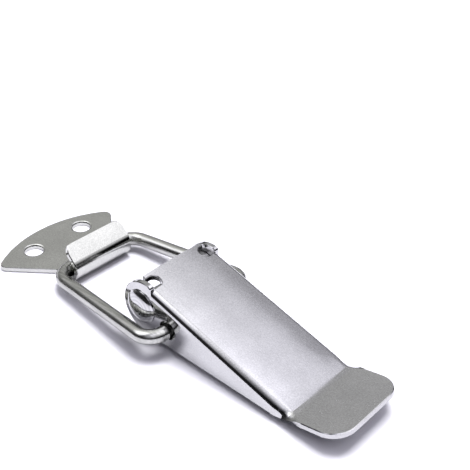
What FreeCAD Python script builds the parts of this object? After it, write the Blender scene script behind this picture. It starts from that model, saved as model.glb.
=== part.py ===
import FreeCAD, Part
import math
import os

# Over centre toggle latch in folded stainless sheet, closed.
# +X runs along the latch from the catch to the lever's tail, +Y across it, +Z up from
# the surface that it is screwed to. The origin is on that surface, midway across the
# latch and straight below the lever's pivot. All sizes are in millimetres and degrees.

Vector = FreeCAD.Vector

# Stock
sheet = 1.2
wire_diameter = 3.2
fold_inner_radius = 0.6
edge_break = 0.16

# Screw holes
screw_hole_diameter = 4.5
screw_hole_edge_round = 0.4

# Catch plate
plate_length = 20.3
fan_radius = 28.0
fan_side_angle = 40.0
fan_corner_radius = 1.8
catch_hole_inset = 6.3
catch_hole_spacing = 14.5
neck_width = 16.4
neck_length = 3.5
neck_radius = 2.0
hook_inner_radius = 2.4
hook_turn = 132.0
flap_length = 4.3
flap_corner_radius = 2.4

# Bail
bar_reach = 27.0
bar_to_catch = 0.05
bar_slack = 0.2
bail_front_width = 22.6
bail_rear_width = 29.4
bail_front_radius = 4.7
bail_rear_radius = 3.5
bail_end_inset = 0.8

# Lever
lever_width = 20.0
lever_front_height = 14.1
lever_front = 1.1
lever_length = 39.6
lever_gap = 0.2
ear_front = 5.1
ear_heel_radius = 1.0
fade_before = 3.0
fade_after = 2.2
fade_lip = 0.4
fade_last_fold = 3.0
tail_length = 11.4
tail_rise = 12.5
tail_bend_radius = 2.4
tail_corner_radius = 4.6
relief_width = 3.1
relief_reach = 4.1
tongue_lip = 0.9
tongue_side_gap = 0.45

# Pivot and bail holes
pivot_height = 8.0
rivet_diameter = 4.0
rivet_head_diameter = 7.8
rivet_head_height = 1.5
bail_pivot_back = 7.2
bail_pivot_drop = 2.45
bail_hole_slack = 1.2
bail_hole_shift = 0.36

# Base plate
base_front = 4.4
base_length = 30.0
base_corner_radius = 2.0
base_hole_front = 10.0
base_hole_spacing = 11.0
base_ear_width = 8.0

# Clearances
side_clearance = 0.15
pivot_clearance = 0.05

# Derived sizes
wire_radius = wire_diameter / 2
hook_outer_radius = hook_inner_radius + sheet
hook_centre = Vector(bar_slack - bar_reach, 0, hook_outer_radius)
fan_rear = hook_centre.x - plate_length
neck_corner = hook_centre.x - neck_length
catch_hole_row = fan_rear + catch_hole_inset
bar_height = sheet + bar_to_catch + wire_radius
bail_pivot_height = pivot_height - bail_pivot_drop
bail_slope = math.degrees(math.atan2(bail_pivot_height - bar_height, bail_pivot_back + bar_reach))
bail_length = math.hypot(bail_pivot_height - bar_height, bail_pivot_back + bar_reach)
lever_half = lever_width / 2
lever_inner_half = lever_half - sheet
lever_low_edge = sheet + lever_gap
ear_radius = (lever_front_height - lever_low_edge) / 2
ear_centre = Vector(ear_radius - ear_front, 0, lever_low_edge + ear_radius)
relief_rear = tongue_lip - lever_front + relief_width
tail_bend = lever_length - lever_front
tail_bend_height = lever_low_edge + fold_inner_radius + sheet
top_slope = math.degrees(math.atan2(lever_front_height - tail_bend_height, lever_length))
tail_turn = top_slope + tail_rise
tail_setback = tail_bend_radius * math.tan(math.radians(tail_turn / 2))
tail_arc = tail_bend_radius * math.radians(tail_turn)
base_half = lever_inner_half - side_clearance
rivet_hole_radius = rivet_diameter / 2 + pivot_clearance
bail_hole_radius = (wire_diameter + bail_hole_slack) / 2
far = 200.0


def turned(length, angle):
    """Step of a given length in the XZ plane, the angle taken up from +X."""
    return Vector(length * math.cos(math.radians(angle)), 0, length * math.sin(math.radians(angle)))


def arc(centre, radius, start, end):
    """Arc in the XZ plane between two angles taken up from +X."""
    middle = (start + end) / 2
    points = [centre + turned(radius, angle) for angle in (start, middle, end)]
    return Part.Arc(*points).toShape()


def side_prism(edges, half_width):
    """Closed outline in the XZ plane made as wide as the sheet that it belongs to."""
    wire = Part.Wire(Part.__sortEdges__(edges))
    face = Part.Face(wire)
    face.translate(Vector(0, -half_width, 0))
    return face.extrude(Vector(0, 2 * half_width, 0))


def plan_prism(wire, low, high):
    """Closed outline in the XY plane, raised between two heights."""
    face = Part.Face(wire)
    face.translate(Vector(0, 0, low))
    return face.extrude(Vector(0, 0, high - low))


def rounded_path(corners, radii, closed=True):
    """Line through plan corners, each one rounded by its own radius, closed or open."""
    edges = []
    ends = []
    count = len(corners)
    for index in range(count):
        corner = corners[index]
        radius = radii[index]
        if radius == 0:
            ends.append((corner, corner))
            continue
        back = (corners[index - 1] - corner).normalize()
        onward = (corners[(index + 1) % count] - corner).normalize()
        half = back.getAngle(onward) / 2
        middle = (back + onward).normalize()
        inner = corner + middle * (radius / math.sin(half) - radius)
        start = corner + back * (radius / math.tan(half))
        end = corner + onward * (radius / math.tan(half))
        edges.append(Part.Arc(start, inner, end).toShape())
        ends.append((start, end))
    for index in range(count if closed else count - 1):
        edges.append(Part.makeLine(ends[index][1], ends[(index + 1) % count][0]))
    return Part.Wire(Part.__sortEdges__(edges))


def cross_pin(x, z, radius):
    """Long cylinder across the latch, used to cut the holes in both walls."""
    return Part.makeCylinder(radius, far, Vector(x, -far / 2, z), Vector(0, 1, 0))


def screw_hole(x, y):
    """Cutter for a screw hole in flat sheet, its upper edge rounded in two steps."""
    radius = screw_hole_diameter / 2
    start = sheet - screw_hole_edge_round
    rise = screw_hole_edge_round * math.sin(math.radians(45))
    middle = radius + screw_hole_edge_round - rise
    mouth = radius + screw_hole_edge_round
    drill = Part.makeCylinder(radius, 3 * sheet, Vector(x, y, -sheet))
    lower = Part.makeCone(radius, middle, rise, Vector(x, y, start))
    upper = Part.makeCone(middle, mouth, screw_hole_edge_round - rise, Vector(x, y, start + rise))
    return drill.fuse([lower, upper])


def edges_where(shape, test):
    """Edges whose middle point and length pass a test."""
    chosen = []
    for edge in shape.Edges:
        middle = edge.valueAt((edge.FirstParameter + edge.LastParameter) / 2)
        if test(edge, middle):
            chosen.append(edge)
    return chosen


def face_turn(shape, edge):
    """Angle in degrees between the two faces that meet at an edge's middle."""
    middle = edge.valueAt((edge.FirstParameter + edge.LastParameter) / 2)
    normals = []
    for face in shape.ancestorsOfType(edge, Part.Face):
        normals.append(face.normalAt(*face.Surface.parameter(middle)))
    return math.degrees(normals[0].getAngle(normals[-1]))


def eased(shape, test):
    """Sheet with the burr taken off the sharp edges that pass a test."""
    sharp = edges_where(shape, lambda edge, middle: face_turn(shape, edge) > 20 and test(edge, middle))
    return shape.makeChamfer(edge_break, sharp)


def hook():
    """Neck-wide sheet bent up and back round the bar, its flap's two corners rounded."""
    centre = hook_centre
    last = hook_turn - 90
    flap = turned(flap_length, hook_turn)
    outer_end = centre + turned(hook_outer_radius, last)
    inner_end = centre + turned(hook_inner_radius, last)
    edges = [
        arc(centre, hook_outer_radius, -90, last),
        Part.makeLine(outer_end, outer_end + flap),
        Part.makeLine(outer_end + flap, inner_end + flap),
        Part.makeLine(inner_end + flap, inner_end),
        arc(centre, hook_inner_radius, last, -90),
        Part.makeLine(Vector(centre.x, 0, sheet), Vector(centre.x, 0, 0)),
    ]
    strip = side_prism(edges, neck_width / 2)
    tip = inner_end + flap + turned(sheet / 2, last)
    corners = edges_where(strip, lambda edge, middle: (
        abs(edge.Length - sheet) < 1e-4 and (middle - tip).dot(turned(1, hook_turn)) > -1e-3))
    return strip.makeFillet(flap_corner_radius, corners)


def fan():
    """Flat of the catch plate: curved rear edge, sides that close in, and the neck."""
    half_neck = neck_width / 2
    front = hook_centre.x
    spread = Vector(neck_corner - far * math.cos(math.radians(fan_side_angle)),
                    half_neck + far * math.sin(math.radians(fan_side_angle)), 0)
    corners = [
        spread,
        Vector(neck_corner, half_neck, 0),
        Vector(front, half_neck, 0),
        Vector(front, -half_neck, 0),
        Vector(neck_corner, -half_neck, 0),
        Vector(spread.x, -spread.y, 0),
    ]
    sides = plan_prism(rounded_path(corners, [0, neck_radius, 0, 0, neck_radius, 0]), 0, sheet)
    rear = Part.makeCylinder(fan_radius, sheet, Vector(fan_rear + fan_radius, 0, 0))
    ahead = Part.makeBox(far, far, sheet, Vector(fan_rear + fan_radius, -far / 2, 0))
    flat = sides.common(rear.fuse(ahead))
    corners = edges_where(flat, lambda edge, middle: (
        abs(edge.Length - sheet) < 1e-4 and abs(middle.y) > half_neck + neck_radius))
    return flat.makeFillet(fan_corner_radius, corners)


def catch_plate():
    """Fan shaped screw plate whose front is bent up and back into the hook."""
    plate = fan().fuse(hook()).removeSplitter()
    plate = eased(plate, lambda edge, middle: True)
    for side in (-1, 1):
        plate = plate.cut(screw_hole(catch_hole_row, side * catch_hole_spacing / 2))
    return plate


def bail():
    """Closed round wire: cross bar in the hook, two arms, and ends turned into the lever."""
    half_front = bail_front_width / 2
    half_rear = bail_rear_width / 2
    half_end = lever_inner_half - bail_end_inset
    corners = [
        Vector(bail_length, -half_end, 0),
        Vector(bail_length, -half_rear, 0),
        Vector(0, -half_front, 0),
        Vector(0, half_front, 0),
        Vector(bail_length, half_rear, 0),
        Vector(bail_length, half_end, 0),
    ]
    radii = [0, bail_rear_radius, bail_front_radius, bail_front_radius, bail_rear_radius, 0]
    path = rounded_path(corners, radii, closed=False)
    ring = Part.Wire(Part.makeCircle(wire_radius, corners[0], Vector(0, 1, 0)))
    rod = path.makePipeShell([ring], True, True)
    ends = [edge for edge in rod.Edges if abs(edge.Length - math.pi * wire_diameter) < 1e-3
            and abs(abs(edge.CenterOfMass.y) - half_end) < 1e-3]
    rod = rod.makeChamfer(2 * edge_break, ends)
    rod.rotate(Vector(0, 0, 0), Vector(0, 1, 0), -bail_slope)
    rod.translate(Vector(-bar_reach, 0, bar_height))
    return rod


def lever_top_point(x):
    """Point on the upper face of the lever's flat top."""
    return Vector(x, 0, lever_front_height - (x + lever_front) * math.tan(math.radians(top_slope)))


def lever_channel():
    """Top and both walls as one folded channel, its upper face on the sloping top."""
    outer = fold_inner_radius + sheet
    start = lever_top_point(-lever_front) - turned(2 * lever_front_height, -top_slope)
    reach = lever_length / math.cos(math.radians(top_slope)) + 2 * lever_front_height
    depth = 2 * lever_front_height
    frame_y = Vector(0, 1, 0)
    frame_z = turned(1, 90 - top_slope)

    def place(y, z):
        return start + frame_y * y + frame_z * z

    def section(half, low, radius):
        edges = []
        for side in (-1, 1):
            inner = half - radius
            bulge = radius * math.sin(math.radians(45))
            centre = low - radius
            edges.append(Part.Arc(place(side * half, centre), place(side * (inner + bulge), centre + bulge),
                                  place(side * inner, low)).toShape())
            edges.append(Part.makeLine(place(side * half, -depth), place(side * half, centre)))
        edges.append(Part.makeLine(place(half - radius, low), place(radius - half, low)))
        edges.append(Part.makeLine(place(half, -depth), place(-half, -depth)))
        return Part.Face(Part.Wire(Part.__sortEdges__(edges)))

    run = turned(reach, -top_slope)
    solid = section(lever_half, 0, outer).extrude(run)
    hollow = section(lever_inner_half, -sheet, fold_inner_radius).extrude(run)
    return solid.cut(hollow)


def tail_path(distance):
    """Point on the upper face and its slope, at a distance past the start of the tail's bend."""
    start = lever_top_point(tail_bend) - turned(tail_setback, -top_slope)
    if distance < 0:
        return start + turned(distance, -top_slope), -top_slope
    centre = start + turned(tail_bend_radius, 90 - top_slope)
    slope = min(math.degrees(distance / tail_bend_radius) - top_slope, tail_rise)
    onward = max(distance - tail_arc, 0)
    return centre + turned(tail_bend_radius, slope - 90) + turned(onward, slope), slope


def wall_outline():
    """Side view of the lever's walls: round ears, straight lower edge, wedge to the tail."""
    top_rear, slope = tail_path(-fade_before)
    square = turned(1, 90 + slope)
    low_rear = top_rear - square * ((top_rear.z - lever_low_edge) / square.z)
    edges = [
        arc(ear_centre, ear_radius, 90, 270),
        Part.makeLine(ear_centre + turned(ear_radius, -90), low_rear),
        Part.makeLine(low_rear, top_rear + square * lever_front_height),
        Part.makeLine(top_rear + square * lever_front_height, ear_centre + turned(ear_radius, 90)),
    ]
    return side_prism(edges, lever_width)


def across(x_low, x_high, y_low, y_high):
    """Block between four vertical planes, taller than the latch."""
    return Part.makeBox(x_high - x_low, y_high - y_low, far, Vector(x_low, y_low, -far / 2))


def lever_ears():
    """Flat round ears at the front of both walls, free of the fold at the top."""
    disc = cross_pin(ear_centre.x, ear_centre.z, ear_radius)
    foot = Part.makeBox(relief_rear - ear_centre.x, far, ear_centre.z - lever_low_edge,
                        Vector(ear_centre.x, -far / 2, lever_low_edge))
    outline = disc.fuse(foot).common(across(-far, relief_rear, -lever_half, lever_half)).removeSplitter()
    heel = edges_where(outline, lambda edge, middle: (
        abs(middle.x - relief_rear) < 1e-4 and middle.z > ear_centre.z and abs(middle.y) < 1e-4))
    outline = outline.makeFillet(ear_heel_radius, heel)
    ears = [
        outline.common(across(-far, relief_rear, -lever_half, -lever_inner_half)),
        outline.common(across(-far, relief_rear, lever_inner_half, lever_half)),
    ]
    return [eased(ear, lambda edge, middle: middle.x < relief_rear - 1e-3) for ear in ears]


def tongue(channel):
    """Front of the lever's top, with a small lip on each side in front of its relief slot."""
    lip_end = lever_inner_half - tongue_side_gap
    front = channel.common(across(-lever_front, relief_rear, -lip_end, lip_end))
    radius = relief_width / 2
    inner = lever_half - relief_reach + radius
    for side in (-1, 1):
        round_end = Part.makeCylinder(radius, far, Vector(relief_rear - radius, side * inner, 0))
        low, high = sorted((side * inner, side * lever_half))
        slot = across(relief_rear - relief_width, relief_rear, low, high)
        front = front.cut(round_end.fuse(slot))
    return eased(front.removeSplitter(), lambda edge, middle: middle.x < relief_rear - edge_break)


def fading_section(distance):
    """Section of the sheet where its folds open out, square to its upper face.

    Both folds go from a right angle to nearly flat, and the lips outside them stay above the
    walls' lower edge.
    """
    point, slope = tail_path(distance)
    share = (distance + fade_before) / (fade_before + tail_arc + fade_after)
    share = share * share * (3 - 2 * share)
    fold = math.radians(90 - (90 - fade_last_fold) * share)
    outer = fold_inner_radius + sheet
    deepest = (point.z - lever_low_edge) / math.cos(math.radians(slope))
    below_bend = deepest - outer * (1 - math.cos(fold)) - sheet * math.cos(fold)
    full_lip = fade_before * math.tan(math.radians(top_slope)) * (1 - share) + fade_lip
    lip = min(below_bend / math.sin(fold), full_lip)
    flat = lever_half - outer * math.sin(fold) - lip * math.cos(fold)

    def place(side, y, depth):
        return point + Vector(0, side * y, 0) - turned(depth, 90 + slope)

    def bent(side, radius, turn):
        return place(side, flat + radius * math.sin(turn), outer - radius * math.cos(turn))

    edges = []
    for side in (-1, 1):
        foot = Vector(0, side * math.cos(fold), 0) * lip - turned(lip * math.sin(fold), 90 + slope)
        corners = [bent(side, radius, fold) for radius in (outer, fold_inner_radius)]
        for corner, radius in zip(corners, (outer, fold_inner_radius)):
            edges.append(Part.Arc(bent(side, radius, 0), bent(side, radius, fold / 2), corner).toShape())
            edges.append(Part.makeLine(corner, corner + foot))
        edges.append(Part.makeLine(corners[0] + foot, corners[1] + foot))
    for radius in (outer, fold_inner_radius):
        edges.append(Part.makeLine(bent(-1, radius, 0), bent(1, radius, 0)))
    return Part.Wire(Part.__sortEdges__(edges))


def fading_folds():
    """Lever between its straight walls and the tail, where both folds open out flat."""
    reach = fade_before + tail_arc + fade_after
    steps = 6
    sections = [fading_section(reach * step / steps - fade_before) for step in range(steps + 1)]
    return Part.makeLoft(sections, True, True)


def tail_strip():
    """Flat rising tail beyond the folds, its two corners rounded."""
    start, slope = tail_path(tail_arc + fade_after)
    onward = turned(tail_length - tail_setback - fade_after, slope)
    under = turned(sheet, slope - 90)
    edges = [
        Part.makeLine(start, start + onward),
        Part.makeLine(start + onward, start + onward + under),
        Part.makeLine(start + onward + under, start + under),
        Part.makeLine(start + under, start),
    ]
    strip = side_prism(edges, lever_half)
    end = start + onward
    corners = edges_where(strip, lambda edge, middle: (
        abs(edge.Length - sheet) < 1e-4 and (middle - end).dot(onward) > -1e-3))
    strip = strip.makeFillet(tail_corner_radius, corners)
    return eased(strip, lambda edge, middle: (middle - start).dot(onward) > 1e-3)


def lever():
    """Folded lever: flat top, wedge walls with round ears, relief slots and lifted tail."""
    channel = lever_channel()
    rear = channel.common(wall_outline()).common(across(relief_rear, far, -lever_half, lever_half))
    rear = eased(rear, lambda edge, middle: (
        middle.z < lever_low_edge + 1e-3 and abs(middle.y) > lever_inner_half + 1e-3))
    body = rear.fuse([tongue(channel), fading_folds(), tail_strip()] + lever_ears()).removeSplitter()
    body = body.cut(cross_pin(0, pivot_height, rivet_hole_radius))
    hole_x = bail_pivot_back + bail_hole_shift
    hole_z = bail_pivot_height + bail_hole_shift
    return body.cut(cross_pin(hole_x, hole_z, bail_hole_radius))


def base_plate():
    """Hidden screw plate with two ears folded up inside the lever's walls."""
    outer = fold_inner_radius + sheet
    rear = base_length - base_front
    corners = [
        Vector(-base_front, -base_half, 0),
        Vector(rear, -base_half, 0),
        Vector(rear, base_half, 0),
        Vector(-base_front, base_half, 0),
    ]
    outline = plan_prism(rounded_path(corners, [0, base_corner_radius, base_corner_radius, 0]), 0, far)
    trough = channel_up(base_half, outer, rear)
    ear_half = base_ear_width / 2
    top = Part.makeCylinder(ear_half, far, Vector(0, -far / 2, pivot_height), Vector(0, 1, 0))
    post = Part.makeBox(base_ear_width, far, pivot_height, Vector(-ear_half, -far / 2, 0))
    flat = Part.makeBox(far, 2 * (base_half - outer), sheet, Vector(-far / 2, outer - base_half, 0))
    floor = Part.makeBox(far, 2 * base_half, sheet, Vector(ear_half, -base_half, 0))
    ears = trough.common(top.fuse(post))
    plate = ears.fuse([flat.common(outline), floor.common(outline)]).removeSplitter()
    for step in (0, 1):
        place = Vector(base_hole_front + step * base_hole_spacing, 0, -sheet)
        plate = plate.cut(Part.makeCylinder(screw_hole_diameter / 2, 3 * sheet, place))
    return plate.cut(cross_pin(0, pivot_height, rivet_hole_radius))


def channel_up(half, outer, rear):
    """Upward open channel whose outer faces are a given distance from the middle."""
    def section(width, low, radius):
        tall = pivot_height + base_ear_width
        bulge = radius * math.sin(math.radians(45))
        edges = []
        for side in (-1, 1):
            inner = width - radius
            edges.append(Part.Arc(
                Vector(-base_front, side * width, low + radius),
                Vector(-base_front, side * (inner + bulge), low + radius - bulge),
                Vector(-base_front, side * inner, low)).toShape())
            edges.append(Part.makeLine(Vector(-base_front, side * width, low + radius),
                                       Vector(-base_front, side * width, tall)))
        edges.append(Part.makeLine(Vector(-base_front, width - radius, low),
                                   Vector(-base_front, radius - width, low)))
        edges.append(Part.makeLine(Vector(-base_front, width, tall), Vector(-base_front, -width, tall)))
        return Part.Face(Part.Wire(Part.__sortEdges__(edges)))

    run = Vector(base_front + rear, 0, 0)
    return section(half, 0, outer).extrude(run).cut(section(half - sheet, sheet, outer - sheet).extrude(run))


def pivot_rivet():
    """Through rivet with a domed head on the outside of each wall."""
    head_radius = rivet_head_diameter / 2
    dome = (head_radius ** 2 + rivet_head_height ** 2) / (2 * rivet_head_height)
    seat = lever_half + pivot_clearance
    shank = cross_pin(0, pivot_height, rivet_diameter / 2)
    keep = Part.makeBox(far, 2 * seat, far, Vector(-far / 2, -seat, -far / 2))
    rivet = shank.common(keep)
    for side in (-1, 1):
        ball = Part.makeSphere(dome, Vector(0, side * (seat + rivet_head_height - dome), pivot_height))
        outside = Part.makeBox(far, far, far, Vector(-far / 2, seat if side > 0 else -seat - far, -far / 2))
        rivet = rivet.fuse(ball.common(outside))
    return rivet.removeSplitter()


pieces = {
    "catch_plate": catch_plate,
    "bail": bail,
    "lever": lever,
    "base_plate": base_plate,
    "pivot_rivet": pivot_rivet,
}

os.makedirs("parts", exist_ok=True)
for name, make in pieces.items():
    make().exportStep("parts/" + name + ".step")
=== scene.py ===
"""Looks of an over centre toggle latch in folded stainless sheet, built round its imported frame."""
import logging
import math
from dataclasses import dataclass, field
from enum import Enum

import bmesh
import bpy
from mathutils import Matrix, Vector


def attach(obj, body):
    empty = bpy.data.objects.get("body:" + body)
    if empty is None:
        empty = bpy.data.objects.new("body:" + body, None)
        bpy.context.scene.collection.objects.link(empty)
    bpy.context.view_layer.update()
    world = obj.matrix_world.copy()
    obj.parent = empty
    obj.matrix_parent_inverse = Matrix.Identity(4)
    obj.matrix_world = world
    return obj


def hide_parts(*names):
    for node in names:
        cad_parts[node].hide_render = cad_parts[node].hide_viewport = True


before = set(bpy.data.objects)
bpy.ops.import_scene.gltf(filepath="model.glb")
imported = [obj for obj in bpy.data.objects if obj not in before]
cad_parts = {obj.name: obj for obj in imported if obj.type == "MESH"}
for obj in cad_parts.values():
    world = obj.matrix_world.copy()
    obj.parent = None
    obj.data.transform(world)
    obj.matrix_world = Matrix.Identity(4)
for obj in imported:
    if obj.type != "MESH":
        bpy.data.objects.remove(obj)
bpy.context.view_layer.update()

log = logging.getLogger("latch")

MM = 0.001

Colour = tuple[float, float, float, float]
Range = tuple[float, float]
Place = tuple[float, float, float]
Socket = bpy.types.NodeSocket

UNIT: Range = (0.0, 1.0)
GREEN_LOSS = 0.15  # share of green that lilac takes, for each share of blue that it adds


def grey(value: float, lilac: float = 0.0) -> Colour:
    """Grey that can lean a little to lilac or, below zero, to a warm straw colour."""
    return (value, value * (1 - GREEN_LOSS * lilac), value * (1 + lilac), 1.0)


def eased(share: float) -> float:
    """Share between 0 and 1, made to start and end gently."""
    return share * share * (3 - 2 * share)


def soften(sides: bmesh.types.BMesh, sharp_turn: float) -> None:
    """Shades a piece smooth across its edges.

    Args:
        sides: the piece's faces.
        sharp_turn: turn in radians from which an edge stays sharp.
    """
    for face in sides.faces:
        face.smooth = True
    for edge in sides.edges:
        edge.smooth = len(edge.link_faces) == 2 and edge.calc_face_angle() < sharp_turn


def placed(name: str, sides: bmesh.types.BMesh) -> bpy.types.Object:
    """Turns finished sides into a piece of the scene, and frees them.

    Args:
        name: the piece's name.
        sides: its faces, in place.

    Returns:
        The new piece.
    """
    mesh = bpy.data.meshes.new(name)
    sides.to_mesh(mesh)
    sides.free()
    piece = bpy.data.objects.new(name, mesh)
    bpy.context.scene.collection.objects.link(piece)
    return piece


@dataclass(frozen=True)
class Pattern:
    """Soft noise: repeats per metre, how many finer layers it has and how strong they are."""

    scale: float
    layers: float
    strength: float = 0.5


class NodeSketch:
    """Short hand for building the node tree of a material or of the room's light."""

    def __init__(self, owner: bpy.types.Material | bpy.types.World) -> None:
        """Clears the owner's tree.

        Args:
            owner: the material or world whose nodes are built.
        """
        owner.use_nodes = True
        self.tree = owner.node_tree
        self.tree.nodes.clear()

    def coated(self) -> bpy.types.Node:
        """Adds the surface shader, joined to the material's output."""
        shader = self.add("BsdfPrincipled")
        self.join(shader.outputs["BSDF"], self.add("OutputMaterial").inputs["Surface"])
        return shader

    def add(self, kind: str, **settings: object) -> bpy.types.Node:
        """Adds a node and sets its properties and unlinked sockets.

        Args:
            kind: Blender's name of the node type, without its ShaderNode prefix.
            settings: values by property name, or by socket name with _ for spaces.

        Returns:
            The new node.
        """
        node = self.tree.nodes.new("ShaderNode" + kind)
        for name, value in settings.items():
            if hasattr(node, name):
                setattr(node, name, value)
            else:
                node.inputs[name.replace("_", " ")].default_value = value
        return node

    def join(self, source: Socket, target: Socket) -> None:
        """Links two sockets."""
        self.tree.links.new(source, target)

    def object_place(self) -> Socket:
        """Place on the piece itself, in metres."""
        return self.add("TexCoord").outputs["Object"]

    def stretched(self, place: Socket, scale: Place, turn: float = 0.0) -> Socket:
        """Stretches a place, so that a pattern runs in lines.

        Args:
            place: the place to start from.
            scale: how much faster the pattern repeats along each axis.
            turn: turn about the upright axis in radians, made first.

        Returns:
            The stretched place.
        """
        mapping = self.add("Mapping", Scale=scale, Rotation=(0.0, 0.0, turn))
        self.join(place, mapping.inputs["Vector"])
        return mapping.outputs["Vector"]

    def noise(self, place: Socket, pattern: Pattern) -> Socket:
        """Soft noise between 0 and 1."""
        node = self.add("TexNoise", Scale=pattern.scale, Detail=pattern.layers,
                        Roughness=pattern.strength)
        self.join(place, node.inputs["Vector"])
        return node.outputs["Fac"]

    def ranged(self, value: Socket, come: Range, go: Range) -> Socket:
        """Maps a value from one range to another and clamps it.

        Args:
            value: the value to map.
            come: the range that comes in.
            go: the range that goes out.

        Returns:
            The mapped value.
        """
        node = self.add("MapRange", clamp=True, From_Min=come[0], From_Max=come[1],
                        To_Min=go[0], To_Max=go[1])
        self.join(value, node.inputs["Value"])
        return node.outputs["Result"]

    def maths(self, operation: str, *values: Socket | float) -> Socket:
        """Applies one arithmetic operation to one or two values, linked or plain numbers."""
        node = self.add("Math", operation=operation)
        for value, socket in zip(values, node.inputs):
            if isinstance(value, (int, float)):
                socket.default_value = value
            else:
                self.join(value, socket)
        return node.outputs["Value"]

    def mixed(self, first: Socket, second: Socket, share: float) -> Socket:
        """Mixes two values, the first by a share and the second by the rest of one."""
        return self.maths("ADD", self.maths("MULTIPLY", first, share),
                          self.maths("MULTIPLY", second, 1 - share))

    def span(self, first: Socket, second: Socket) -> Socket:
        """Length of two parts that stand square to each other."""
        return self.maths("SQRT", self.maths("ADD", self.maths("MULTIPLY", first, first),
                                             self.maths("MULTIPLY", second, second)))

    def apart(self, place: Socket) -> tuple[Socket, ...]:
        """Splits a place or direction into its three parts."""
        node = self.add("SeparateXYZ")
        self.join(place, node.inputs["Vector"])
        return tuple(node.outputs)

    def scaled(self, colour: Socket, share: Socket) -> Socket:
        """Takes a share of a colour."""
        node = self.add("VectorMath", operation="SCALE")
        self.join(colour, node.inputs["Vector"])
        self.join(share, node.inputs["Scale"])
        return node.outputs["Vector"]

    def summed(self, first: Socket, second: Socket) -> Socket:
        """Adds two colours."""
        node = self.add("VectorMath", operation="ADD")
        self.join(first, node.inputs[0])
        self.join(second, node.inputs[1])
        return node.outputs["Vector"]

    def blended(self, factor: Socket, dark: Colour, light: Colour) -> Socket:
        """Colour between two shades, chosen by a factor."""
        ramp = self.add("ValToRGB")
        ramp.color_ramp.elements[0].color = dark
        ramp.color_ramp.elements[1].color = light
        self.join(factor, ramp.inputs["Fac"])
        return ramp.outputs["Color"]

    def bump(self, height: Socket, depth: float, under: Socket | None = None) -> Socket:
        """Relief on top of another relief.

        Args:
            height: height between 0 and 1.
            depth: how far a height of 1 stands proud, in metres.
            under: normal of the relief below, if there is one.

        Returns:
            The relief's normal.
        """
        node = self.add("Bump", Strength=1.0, Distance=depth)
        self.join(height, node.inputs["Height"])
        if under is not None:
            self.join(under, node.inputs["Normal"])
        return node.outputs["Normal"]


class Grain(Enum):
    """Marks that the last working step leaves in the steel."""

    ROLLED = "rolled"
    DRAWN = "drawn"
    TURNED = "turned"


@dataclass(frozen=True)
class Burnish:
    """Where the bending tools have rubbed the sheet smoother than its flat parts."""

    axis: int
    start: float
    full: float
    share: float
    both_sides: bool = False


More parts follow.
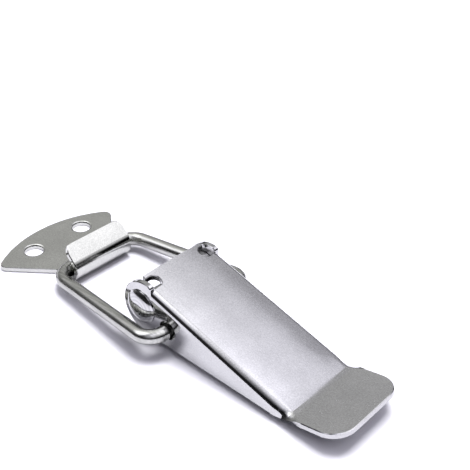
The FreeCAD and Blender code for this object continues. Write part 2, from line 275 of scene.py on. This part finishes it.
@dataclass(frozen=True)
class SteelFinish:
    """Bare stainless steel with the marks of its last working step."""

    name: str
    grain: Grain
    shade: float = 0.56
    shade_spread: float = 0.06
    lilac: float = 0.0
    roughness: float = 0.30
    roughness_spread: float = 0.05
    grain_scale: float = 3200.0
    grain_depth: float = 0.0035 * MM
    drawn_along: float = 0.06
    clouds: Pattern = Pattern(140.0, 4.0, 0.55)
    smudges: Pattern = Pattern(380.0, 5.0, 0.6)
    mottle_in_tone: float = 0.65
    mottle_in_polish: float = 0.5
    tone_range: Range = (0.38, 0.62)
    polish_range: Range = (0.3, 0.7)
    scratch_depth: float = 0.0008 * MM
    scratch_across: float = 3200.0
    scratch_runs: tuple[tuple[float, float], ...] = ((0.5, 90.0), (-1.1, 70.0))
    scratch_range: Range = (0.66, 0.74)
    burnish: Burnish | None = None
    axis_point: Range = (0.0, 0.0)

    def material(self) -> bpy.types.Material:
        """Builds the finish as a node material.

        Returns:
            The material, ready for a piece's slot.
        """
        material = bpy.data.materials.new(self.name)
        sketch = NodeSketch(material)
        shader = sketch.coated()
        shader.inputs["Metallic"].default_value = 1.0
        place = sketch.object_place()
        mottle = self.marks(sketch, place)
        sketch.join(self.tone(sketch, place, mottle), shader.inputs["Base Color"])
        sketch.join(self.polish(sketch, place, mottle), shader.inputs["Roughness"])
        sketch.join(self.relief(sketch, place, mottle), shader.inputs["Normal"])
        return material

    def marks(self, sketch: NodeSketch, place: Socket) -> Socket:
        """Fine marks of the working step: mottle, long lines or rings.

        Args:
            sketch: the tree being built.
            place: place on the piece in metres.

        Returns:
            A height between 0 and 1.
        """
        if self.grain is Grain.DRAWN:
            lines = sketch.stretched(place, (self.drawn_along, 1.0, 1.0))
            return sketch.noise(lines, Pattern(self.grain_scale, 2.0))
        if self.grain is Grain.TURNED:
            return self.rings(sketch, place)
        return sketch.noise(place, Pattern(self.grain_scale, 4.0, 0.6))

    def rings(self, sketch: NodeSketch, place: Socket) -> Socket:
        """Turned rings about the rivet's axis, which runs along Y."""
        x, _, z = sketch.apart(place)
        radius = sketch.span(sketch.maths("SUBTRACT", x, self.axis_point[0]),
                             sketch.maths("SUBTRACT", z, self.axis_point[1]))
        wave = sketch.maths("SINE", sketch.maths("MULTIPLY", radius, self.grain_scale))
        return sketch.ranged(wave, (-1.0, 1.0), UNIT)

    def tone(self, sketch: NodeSketch, place: Socket, mottle: Socket) -> Socket:
        """Colour of the steel: fine mottle on large faint clouds.

        Args:
            sketch: the tree being built.
            place: place on the piece in metres.
            mottle: the fine marks.

        Returns:
            The colour.
        """
        factor = sketch.mixed(mottle, sketch.noise(place, self.clouds), self.mottle_in_tone)
        return sketch.blended(sketch.ranged(factor, self.tone_range, UNIT),
                              grey(self.shade - self.shade_spread, self.lilac),
                              grey(self.shade + self.shade_spread, self.lilac))

    def polish(self, sketch: NodeSketch, place: Socket, mottle: Socket) -> Socket:
        """Roughness of the steel: smudged, and smoother where the tools have rubbed it.

        Args:
            sketch: the tree being built.
            place: place on the piece in metres.
            mottle: the fine marks.

        Returns:
            The roughness.
        """
        factor = sketch.mixed(mottle, sketch.noise(place, self.smudges), self.mottle_in_polish)
        rough = sketch.ranged(factor, self.polish_range,
                              (self.roughness - self.roughness_spread,
                               self.roughness + self.roughness_spread))
        if self.burnish is None:
            return rough
        return sketch.maths("MULTIPLY", rough, self.rubbed(sketch, place, self.burnish))

    def rubbed(self, sketch: NodeSketch, place: Socket, burnish: Burnish) -> Socket:
        """Share of the roughness that is left, 1 on the flat parts and less past the bends."""
        along = sketch.apart(place)[burnish.axis]
        if burnish.both_sides:
            along = sketch.maths("ABSOLUTE", along)
        return sketch.ranged(along, (burnish.start, burnish.full), (1.0, burnish.share))

    def relief(self, sketch: NodeSketch, place: Socket, mottle: Socket) -> Socket:
        """Normal of the fine marks, with the scratches over them.

        Args:
            sketch: the tree being built.
            place: place on the piece in metres.
            mottle: the fine marks.

        Returns:
            The normal.
        """
        marks = sketch.bump(mottle, self.grain_depth)
        if not self.scratch_depth:
            return marks
        return sketch.bump(self.scratches(sketch, place), self.scratch_depth, marks)

    def scratches(self, sketch: NodeSketch, place: Socket) -> Socket:
        """A few fine scratches in two directions.

        Args:
            sketch: the tree being built.
            place: place on the piece in metres.

        Returns:
            A height between 0 and 1, low in the scratches.
        """
        kept = None
        for turn, along in self.scratch_runs:
            lines = sketch.stretched(place, (along, self.scratch_across, along), turn)
            hair = sketch.ranged(sketch.noise(lines, Pattern(1.0, 1.0)), self.scratch_range,
                                 (1.0, 0.0))
            kept = hair if kept is None else sketch.maths("MULTIPLY", kept, hair)
        return kept


@dataclass(frozen=True)
class PaperFinish:
    """Matt pale paper of the sweep and the backdrop."""

    name: str = "white_sweep"
    shade: float = 0.56
    shade_spread: float = 0.01
    lilac: float = 0.06
    glow: float = 0.0
    roughness: float = 0.9
    sheen: float = 0.15
    fibres: Pattern = Pattern(60.0, 4.0)

    def material(self) -> bpy.types.Material:
        """Builds the paper with a very faint fibre.

        Returns:
            The material, ready for the sweep or the backdrop.
        """
        material = bpy.data.materials.new(self.name)
        sketch = NodeSketch(material)
        shader = sketch.coated()
        shader.inputs["Roughness"].default_value = self.roughness
        shader.inputs["Specular IOR Level"].default_value = self.sheen
        shader.inputs["Emission Color"].default_value = grey(1.0, self.lilac)
        shader.inputs["Emission Strength"].default_value = self.glow
        colour = sketch.blended(sketch.noise(sketch.object_place(), self.fibres),
                                grey(self.shade - self.shade_spread, self.lilac),
                                grey(self.shade + self.shade_spread, self.lilac))
        sketch.join(colour, shader.inputs["Base Color"])
        return material


def dress(node: str, finish: SteelFinish) -> None:
    """Gives a carried-over piece its finish.

    Args:
        node: the piece's name in the frame.
        finish: the steel that it shows.
    """
    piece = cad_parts[node]
    material = finish.material()
    if piece.material_slots:
        for held in piece.material_slots:
            held.material = material
    else:
        piece.data.materials.append(material)
    log.info("%s: dressed in %s", node, finish.name)


@dataclass
class CatchPlate:
    """Fan shaped screw plate with the hook that the bail's bar sits in."""

    finish: SteelFinish = SteelFinish("catch_satin", Grain.ROLLED, lilac=-0.04, roughness=0.22,
                                      burnish=Burnish(0, -28.5 * MM, -26.5 * MM, 0.5))

    def build(self) -> None:
        """Dresses the plate."""
        dress("catch_plate", self.finish)


@dataclass
class Bail:
    """Bent wire between the lever and the hook."""

    finish: SteelFinish = SteelFinish("bail_wire_bright", Grain.DRAWN, shade=0.48, lilac=-0.04,
                                      roughness=0.22, roughness_spread=0.03,
                                      grain_scale=2000.0, grain_depth=0.001 * MM)

    def build(self) -> None:
        """Dresses the wire."""
        dress("bail", self.finish)


@dataclass
class FoldedLever:
    """Lever with its top, two walls, round ears and lifted tail."""

    finish: SteelFinish = SteelFinish("lever_satin", Grain.ROLLED, shade=0.54, roughness=0.24,
                                      burnish=Burnish(1, 8.6 * MM, 9.6 * MM, 0.35, True))
    crown_height: float = 0.30 * MM
    crown_half_width: float = 8.2 * MM
    crown_power: int = 3
    crown_rows: int = 11
    crown_ends: Range = (30 * MM, 39 * MM)
    top_slope: float = math.radians(15.6)
    sharp_turn: float = math.radians(24)
    merge_reach: float = 0.0002 * MM
    cut_reach: float = 0.001 * MM

    def lift(self, x: float, y: float) -> float:
        """How far the pressed top stands above the flat sheet at a place.

        Args:
            x: place along the latch.
            y: place across the latch.

        Returns:
            The height, square to the top, in metres.
        """
        aside = min(abs(y) / self.crown_half_width, 1.0)
        start, end = self.crown_ends
        along = min(max((end - x) / (end - start), 0.0), 1.0)
        return self.crown_height * (1 - aside ** self.crown_power) * eased(along)

    def cut(self, sides: bmesh.types.BMesh) -> None:
        """Cuts the sheet into narrow rows that can follow the crown.

        Args:
            sides: the folded sheet's faces.
        """
        bmesh.ops.remove_doubles(sides, verts=sides.verts, dist=self.merge_reach)
        for row in range(-self.crown_rows, self.crown_rows + 1):
            place = self.crown_half_width * row / self.crown_rows
            bmesh.ops.bisect_plane(sides, geom=sides.verts[:] + sides.edges[:] + sides.faces[:],
                                   dist=self.cut_reach, plane_co=(0, place, 0), plane_no=(0, 1, 0))
        bmesh.ops.triangulate(sides, faces=sides.faces)
        bmesh.ops.dissolve_degenerate(sides, dist=self.cut_reach, edges=sides.edges)

    def pressed(self) -> bpy.types.Object:
        """Copies the folded sheet and presses its top slightly round between the folds.

        Returns:
            The new lever, in place.
        """
        sides = bmesh.new()
        sides.from_mesh(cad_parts["lever"].data)
        self.cut(sides)
        upward = Vector((math.sin(self.top_slope), 0, math.cos(self.top_slope)))
        for corner in sides.verts:
            corner.co += upward * self.lift(corner.co.x, corner.co.y)
        soften(sides, self.sharp_turn)
        lever = placed("folded_lever", sides)
        held = lever.data.attributes.get("custom_normal")
        if held is not None:
            lever.data.attributes.remove(held)
        lever.modifiers.new("even_faces", "WEIGHTED_NORMAL").keep_sharp = True
        return lever

    def build(self) -> None:
        """Builds the pressed lever and dresses it."""
        lever = self.pressed()
        lever.data.materials.clear()
        lever.data.materials.append(self.finish.material())
        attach(lever, "lever")
        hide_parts("lever")
        log.info("lever: %d faces, dressed in %s", len(lever.data.polygons), self.finish.name)


@dataclass
class BasePlate:
    """Hidden screw plate with the two ears that carry the pivot."""

    finish: SteelFinish = SteelFinish("base_satin", Grain.ROLLED, shade=0.55, roughness=0.34)

    def build(self) -> None:
        """Dresses the plate."""
        dress("base_plate", self.finish)


@dataclass
class PivotRivet:
    """Through rivet with a flat crowned head on both sides, its rim rounded over."""

    finish: SteelFinish = SteelFinish("rivet_turned", Grain.TURNED, roughness=0.13,
                                      roughness_spread=0.02, grain_scale=9000.0,
                                      grain_depth=0.0002 * MM, scratch_depth=0.0,
                                      axis_point=(0.0, 8 * MM))
    height: float = 8 * MM
    seat: float = 10.05 * MM
    shank_radius: float = 2.0 * MM
    head_radius: float = 3.8 * MM
    head_height: float = 1.2 * MM
    rim_tilt: float = math.radians(42)
    flatness: float = 2.0
    rings: int = 20
    segments: int = 72
    sharp_turn: float = math.radians(40)

    def outline(self) -> list[Range]:
        """Half section of the rivet from one head's middle to the other's.

        Returns:
            Radius and distance along the rivet, in metres.
        """
        step = self.head_radius / self.rings
        along = self.seat + self.head_height
        head = [(0.0, along)]
        for ring in range(self.rings):
            tilt = self.rim_tilt * ((ring + 0.5) / self.rings) ** self.flatness
            along -= step * math.tan(tilt)
            head.append((step * (ring + 1), along))
        head += [(self.head_radius, self.seat), (self.shank_radius, self.seat)]
        return [(radius, -along) for radius, along in head] + head[::-1]

    def turned(self) -> bpy.types.Object:
        """Turns the half section about the pivot's axis into a closed solid.

        Returns:
            The rivet, in place.
        """
        sides = bmesh.new()
        angles = [2 * math.pi * step / self.segments for step in range(self.segments)]
        loops = []
        for radius, along in self.outline():
            ring = angles if radius else angles[:1]
            loops.append([sides.verts.new((radius * math.cos(angle), along,
                                           self.height + radius * math.sin(angle)))
                          for angle in ring])
        for first, second in zip(loops, loops[1:]):
            for step in range(self.segments):
                onward = (step + 1) % self.segments
                corners = [first[step % len(first)], first[onward % len(first)],
                           second[onward % len(second)], second[step % len(second)]]
                sides.faces.new(list(dict.fromkeys(corners)))
        bmesh.ops.recalc_face_normals(sides, faces=sides.faces)
        soften(sides, self.sharp_turn)
        return placed("pivot_rivet_turned", sides)

    def build(self) -> None:
        """Builds the rivet and dresses it."""
        rivet = self.turned()
        rivet.data.materials.append(self.finish.material())
        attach(rivet, "fixed")
        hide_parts("pivot_rivet")
        log.info("rivet: %d faces, dressed in %s", len(rivet.data.polygons), self.finish.name)


@dataclass(frozen=True)
class Wall:
    """One side of the room: which way it lies, and how bright it is at each height in degrees."""

    bearing: float
    levels: tuple[Range, ...]
    lilac: float = 0.0


@dataclass
class Room:
    """Light of the room: eight walls that blend into each other, and the ceiling."""

    walls: tuple[Wall, ...] = (
        Wall(-46.3, ((0, 0.0), (12, 0.0), (22, 0.25), (42, 0.9), (66, 1.5)), 0.10),
        Wall(-1.3, ((0, 0.0), (22, 0.0), (42, 0.7), (66, 1.5)), 0.06),
        Wall(43.7, ((0, 0.0), (18, 0.0), (30, 0.9), (42, 1.85), (66, 1.8)), 0.05),
        Wall(88.7, ((0, 0.0), (8, 0.0), (22, 0.6), (42, 0.38), (66, 1.85)), 0.09),
        Wall(133.7, ((0, 0.0), (8, 0.14), (22, 0.58), (42, 0.46), (66, 1.1)), 0.0),
        Wall(178.7, ((0, 0.23), (8, 0.46), (22, 0.3), (42, 0.65), (66, 1.6)), 0.0),
        Wall(223.7, ((0, 0.04), (12, 0.05), (28, 0.1), (36, 0.7), (44, 2.4), (66, 3.3)), 0.06),
        Wall(268.7, ((0, 0.05), (8, 0.05), (22, 0.0), (42, 0.0), (66, 0.35)), 0.05),
    )
    ceiling: Range = (0.95, 0.06)
    headroom: float = 1.5
    narrowest: float = 0.000001

    def brightest(self) -> float:
        """Level that the ramps count as one, with headroom for the tint."""
        levels = [level for wall in self.walls for _, level in wall.levels]
        return self.headroom * max([self.ceiling[0]] + levels)

    def wall_light(self, sketch: NodeSketch, wall: Wall, height: Socket) -> Socket:
        """Colour of one wall at a height, the same all along it.

        Args:
            sketch: the room's tree.
            wall: the wall.
            height: height of the direction looked in, 0 at the table and 1 straight up.

        Returns:
            The wall's colour there, as a share of the brightest level.
        """
        ramp = sketch.add("ValToRGB")
        stops = ramp.color_ramp.elements
        while len(stops) < len(wall.levels) + 1:
            stops.new(0.5)
        for stop, (degrees, level) in zip(stops, wall.levels):
            stop.position = degrees / 90
            stop.color = grey(level / self.brightest(), wall.lilac)
        stops[-1].position = 1.0
        stops[-1].color = grey(self.ceiling[0] / self.brightest(), self.ceiling[1])
        sketch.join(height, ramp.inputs["Fac"])
        return ramp.outputs["Color"]

    def nearness(self, sketch: NodeSketch, wall: Wall, x: Socket, y: Socket) -> Socket:
        """How close a direction lies to a wall's bearing.

        Args:
            sketch: the room's tree.
            wall: the wall.
            x: the direction's part along X.
            y: the direction's part along Y.

        Returns:
            A share, 1 on the bearing and 0 from the next wall's bearing on.
        """
        bearing = math.radians(wall.bearing)
        flat = sketch.maths("MAXIMUM", sketch.span(x, y), self.narrowest)
        along = sketch.maths("ADD", sketch.maths("MULTIPLY", x, math.cos(bearing)),
                             sketch.maths("MULTIPLY", y, math.sin(bearing)))
        away = sketch.maths("ARCCOSINE", sketch.maths("DIVIDE", along, flat))
        return sketch.ranged(away, (0.0, 2 * math.pi / len(self.walls)), (1.0, 0.0))

    def build(self) -> None:
        """Makes the room the scene's world."""
        world = bpy.data.worlds.new("room")
        bpy.context.scene.world = world
        sketch = NodeSketch(world)
        x, y, z = sketch.apart(sketch.add("TexCoord").outputs["Generated"])
        height = sketch.maths("MULTIPLY", sketch.maths("ARCSINE", z), 2 / math.pi)
        total = None
        for wall in self.walls:
            part = sketch.scaled(self.wall_light(sketch, wall, height),
                                 self.nearness(sketch, wall, x, y))
            total = part if total is None else sketch.summed(total, part)
        glow = sketch.add("Background", Strength=self.brightest())
        sketch.join(total, glow.inputs["Color"])
        sketch.join(glow.outputs["Background"], sketch.add("OutputWorld").inputs["Surface"])


@dataclass
class Studio:
    """White sweep, backdrop, the room's light, a lamp that lifts the sweep, and the camera."""

    floor_reach: float = 3.0
    floor_squares: int = 8
    floor_drop: float = 0.02 * MM
    backdrop_segments: int = 64
    lamp_place: Place = (0.0, 0.09, 0.60)
    lamp_side: float = 0.26
    lamp_power: float = 4.8
    sensor: float = 36.0
    focal: float = 59.33
    shift: tuple[float, float] = (0.0772, 0.2017)
    clip_start: float = 5 * MM
    camera_place: Place = (0.0937605, -0.0912168, 0.1053817)
    camera_looks: Place = (-0.52924, 0.55368, -0.64292)
    room: Room = field(default_factory=Room)
    paper: PaperFinish = PaperFinish()
    far_paper: PaperFinish = PaperFinish("backdrop_paper", glow=0.55)

    def floor(self) -> None:
        """Lays the sweep."""
        sides = bmesh.new()
        bmesh.ops.create_grid(sides, x_segments=self.floor_squares, y_segments=self.floor_squares,
                              size=self.floor_reach / 2)
        sweep = placed("sweep", sides)
        sweep.data.materials.append(self.paper.material())
        sweep.location.z = -self.floor_drop

    def backdrop(self) -> None:
        """Stretches pale paper all round, far behind the sweep; only the camera sees it."""
        sides = bmesh.new()
        bmesh.ops.create_uvsphere(sides, u_segments=self.backdrop_segments,
                                  v_segments=self.backdrop_segments // 2, radius=self.floor_reach)
        bmesh.ops.reverse_faces(sides, faces=sides.faces)
        soften(sides, math.pi)
        backdrop = placed("backdrop", sides)
        backdrop.data.materials.append(self.far_paper.material())
        backdrop.visible_glossy = False
        backdrop.visible_diffuse = False
        backdrop.visible_shadow = False

    def lamp(self) -> None:
        """Hangs the lamp; it lights the sweep and isn't mirrored in the steel."""
        data = bpy.data.lights.new("overhead", "AREA")
        data.shape = "SQUARE"
        data.size = self.lamp_side
        data.energy = self.lamp_power
        lamp = bpy.data.objects.new("overhead", data)
        lamp.location = self.lamp_place
        lamp.rotation_euler = (-Vector(self.lamp_place)).to_track_quat("-Z", "Y").to_euler()
        lamp.visible_glossy = False
        bpy.context.scene.collection.objects.link(lamp)

    def camera(self) -> None:
        """Sets the camera where the photograph was taken from."""
        data = bpy.data.cameras.new("camera")
        data.sensor_width = self.sensor
        data.lens = self.focal
        data.shift_x, data.shift_y = self.shift
        data.clip_start = self.clip_start
        camera = bpy.data.objects.new("camera", data)
        camera.location = self.camera_place
        camera.rotation_euler = Vector(self.camera_looks).to_track_quat("-Z", "Y").to_euler()
        bpy.context.scene.collection.objects.link(camera)
        bpy.context.scene.camera = camera

    def build(self) -> None:
        """Sets the whole studio, and the contrast that the photograph is printed with."""
        self.floor()
        self.backdrop()
        self.room.build()
        self.lamp()
        self.camera()
        bpy.context.scene.view_settings.view_transform = "Standard"
        bpy.context.scene.view_settings.look = "Medium High Contrast"
        log.info("studio: sweep, %d walls of light and the camera", len(self.room.walls))


def main() -> None:
    """Builds the latch's sub-assemblies in order, then the studio."""
    logging.basicConfig(level=logging.INFO, format="%(message)s")
    for part in (CatchPlate(), Bail(), FoldedLever(), BasePlate(), PivotRivet(), Studio()):
        part.build()
        log.info("%s: built", type(part).__name__)


if __name__ == "__main__":
    main()
